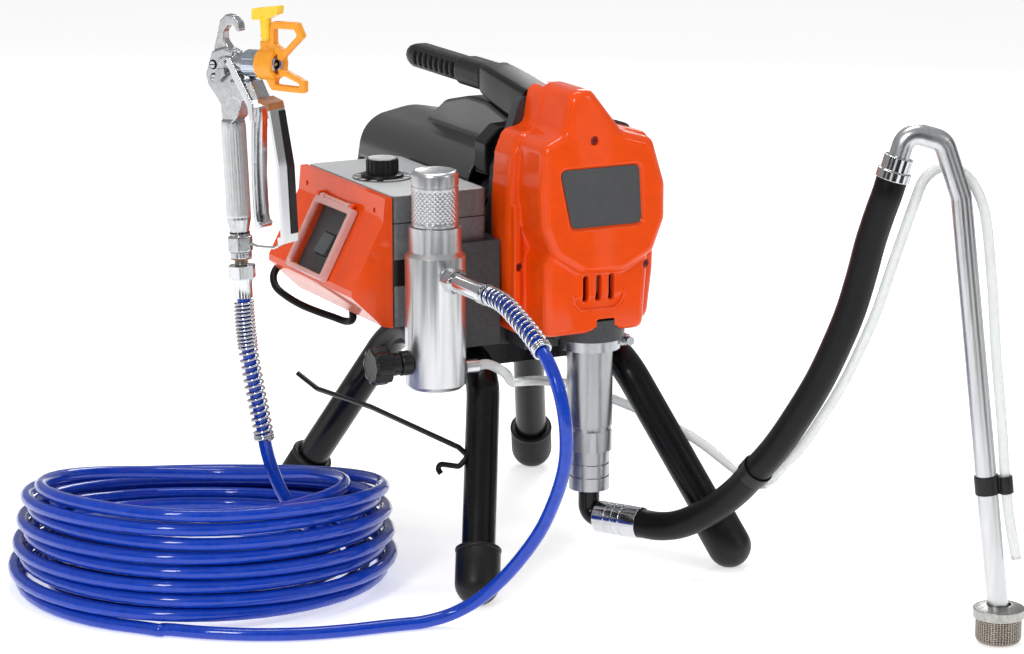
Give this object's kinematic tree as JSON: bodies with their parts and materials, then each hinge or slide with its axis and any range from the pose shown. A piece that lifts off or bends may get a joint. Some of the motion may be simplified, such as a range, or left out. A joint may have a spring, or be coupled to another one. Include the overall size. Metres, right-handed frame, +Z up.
{
  "type": "airless paint sprayer",
  "caption": "Electric airless paint sprayer: motor-driven piston pump on a tubular stand, with control box, filter manifold, suction pipe, coiled hose and spray gun.",
  "frame": {"origin": "middle of the footprint of the machine, suction pipe and gun together, on the floor", "axes": "+Z up, +Y from the front cover towards the rear of the motor, +X towards the side away from the control box"},
  "size_m": [0.7271, 0.732, 0.5278],
  "materials": {
    "satin_black": "satin",
    "foot_rubber": "matte",
    "orange": "gloss",
    "plate_grey": "satin",
    "cast_grey": "satin",
    "shroud_grey": "gloss",
    "black_plastic": "satin",
    "grip_rubber": "matte",
    "steel": "satin",
    "polished": "gloss",
    "aluminium": "satin",
    "suction_rubber": "satin",
    "clear_tube": "gloss",
    "mesh": "satin",
    "zinc": "satin",
    "window_red": "gloss",
    "blue_hose": "gloss",
    "amber": "satin",
    "yellow": "gloss",
    "nut_blue": "satin"
  },
  "bodies": {
    "frame": {"left_leg": "satin_black", "right_leg": "satin_black", "cross_bars": "satin_black", "foot_cap_fl": "foot_rubber", "foot_cap_fr": "foot_rubber", "foot_cap_rl": "foot_rubber", "foot_cap_rr": "foot_rubber", "pail_hook": "satin_black", "drive_housing": "cast_grey", "front_cover": "orange", "label_plate": "plate_grey", "cover_screws": "polished", "motor_can": "satin_black", "motor_shroud": "shroud_grey", "shroud_bracket": "satin_black", "handle_neck": "black_plastic", "handle_grip": "grip_rubber", "shaft_bearings": "steel", "pump_cylinder": "polished", "lock_nut": "steel", "foot_valve": "steel", "check_ball": "polished", "outlet_elbow": "satin_black", "hose_ferrule": "polished", "suction_hose": "suction_rubber", "suction_nut": "polished", "suction_pipe": "aluminium", "strainer_cap": "zinc", "strainer_mesh": "mesh", "hose_clips": "black_plastic", "drain_tube": "clear_tube", "manifold_body": "steel", "filter_cap": "polished", "filter_screen": "steel", "outlet_fitting": "polished", "box_body": "cast_grey", "box_cover": "orange", "box_panel": "plate_grey", "box_gland": "black_plastic", "lead_loop": "suction_rubber", "hose_swivel": "polished", "outlet_spring": "steel", "gun_spring": "steel", "hose_lead": "blue_hose", "hose_coil": "blue_hose", "hose_tail": "blue_hose"},
    "gun": {"gun_body": "aluminium", "gun_nut": "nut_blue", "trigger_guard": "polished"},
    "trigger": {"gun_trigger": "polished"},
    "lock": {"trigger_lock": "steel"},
    "guard": {"tip_guard": "amber"},
    "tip": {"spray_tip": "yellow"},
    "knob": {"pressure_knob": "black_plastic"},
    "valve": {"prime_knob": "black_plastic"},
    "flap": {"box_window": "window_red"},
    "rocker": {"power_rocker": "black_plastic"},
    "rotor": {"rotor": "steel"},
    "crank": {"crank_gear": "steel"},
    "piston": {"connecting_rod": "steel"}
  },
  "joints": [
    {"name": "gun_swivel", "type": "hinge", "parent": "frame", "child": "gun", "pos_m": [-0.25652, 0.07975, 0.29775], "axis": [-0.0246, 0.0462, 0.9986], "continuous": true},
    {"name": "trigger_pull", "type": "hinge", "parent": "gun", "child": "trigger", "pos_m": [-0.26045, 0.08714, 0.47656], "axis": [0.8829, 0.4695, 0], "range_deg": [0, 5], "stiffness_Nm_per_rad": 0.6, "springref_deg": -5.73},
    {"name": "trigger_lock_turn", "type": "hinge", "parent": "gun", "child": "lock", "pos_m": [-0.26045, 0.08715, 0.46715], "axis": [0.8829, 0.4695, 0], "range_deg": [0, 60]},
    {"name": "tip_guard_turn", "type": "hinge", "parent": "gun", "child": "guard", "pos_m": [-0.24961, 0.06677, 0.47577], "axis": [0.4688, -0.8817, 0.0523], "range_deg": [-90, 90]},
    {"name": "spray_tip_turn", "type": "hinge", "parent": "guard", "child": "tip", "pos_m": [-0.24094, 0.05046, 0.47674], "axis": [-0.0246, 0.0462, 0.9986], "range_deg": [0, 180]},
    {"name": "pressure_knob_turn", "type": "hinge", "parent": "frame", "child": "knob", "pos_m": [-0.084, 0.159, 0.347], "axis": [0, 0, 1], "range_deg": [-135, 135]},
    {"name": "prime_valve_turn", "type": "hinge", "parent": "frame", "child": "valve", "pos_m": [-0.139, 0.039, 0.203], "axis": [1, 0, 0], "range_deg": [0, 180]},
    {"name": "window_flap_lift", "type": "hinge", "parent": "frame", "child": "flap", "pos_m": [-0.12749, 0.1625, 0.32833], "axis": [0, 1, 0], "range_deg": [0, 110]},
    {"name": "power_switch", "type": "hinge", "parent": "frame", "child": "rocker", "pos_m": [-0.13882, 0.1625, 0.2891], "axis": [0, 1, 0], "range_deg": [-16, 0]},
    {"name": "motor_spin", "type": "hinge", "parent": "frame", "child": "rotor", "pos_m": [0.038, 0.239, 0.29347], "axis": [0, 1, 0], "continuous": true},
    {"name": "crank_spin", "type": "hinge", "parent": "frame", "child": "crank", "pos_m": [0.066, 0.069, 0.338], "axis": [0, 1, 0], "continuous": true},
    {"name": "piston_slide", "type": "slide", "parent": "frame", "child": "piston", "axis": [0, 0, 1], "range_m": [-0.01, 0.01]}
  ],
  "couplings": [
    {"joint": "crank_spin", "follows": "motor_spin", "ratio": -0.16667}
  ]
}
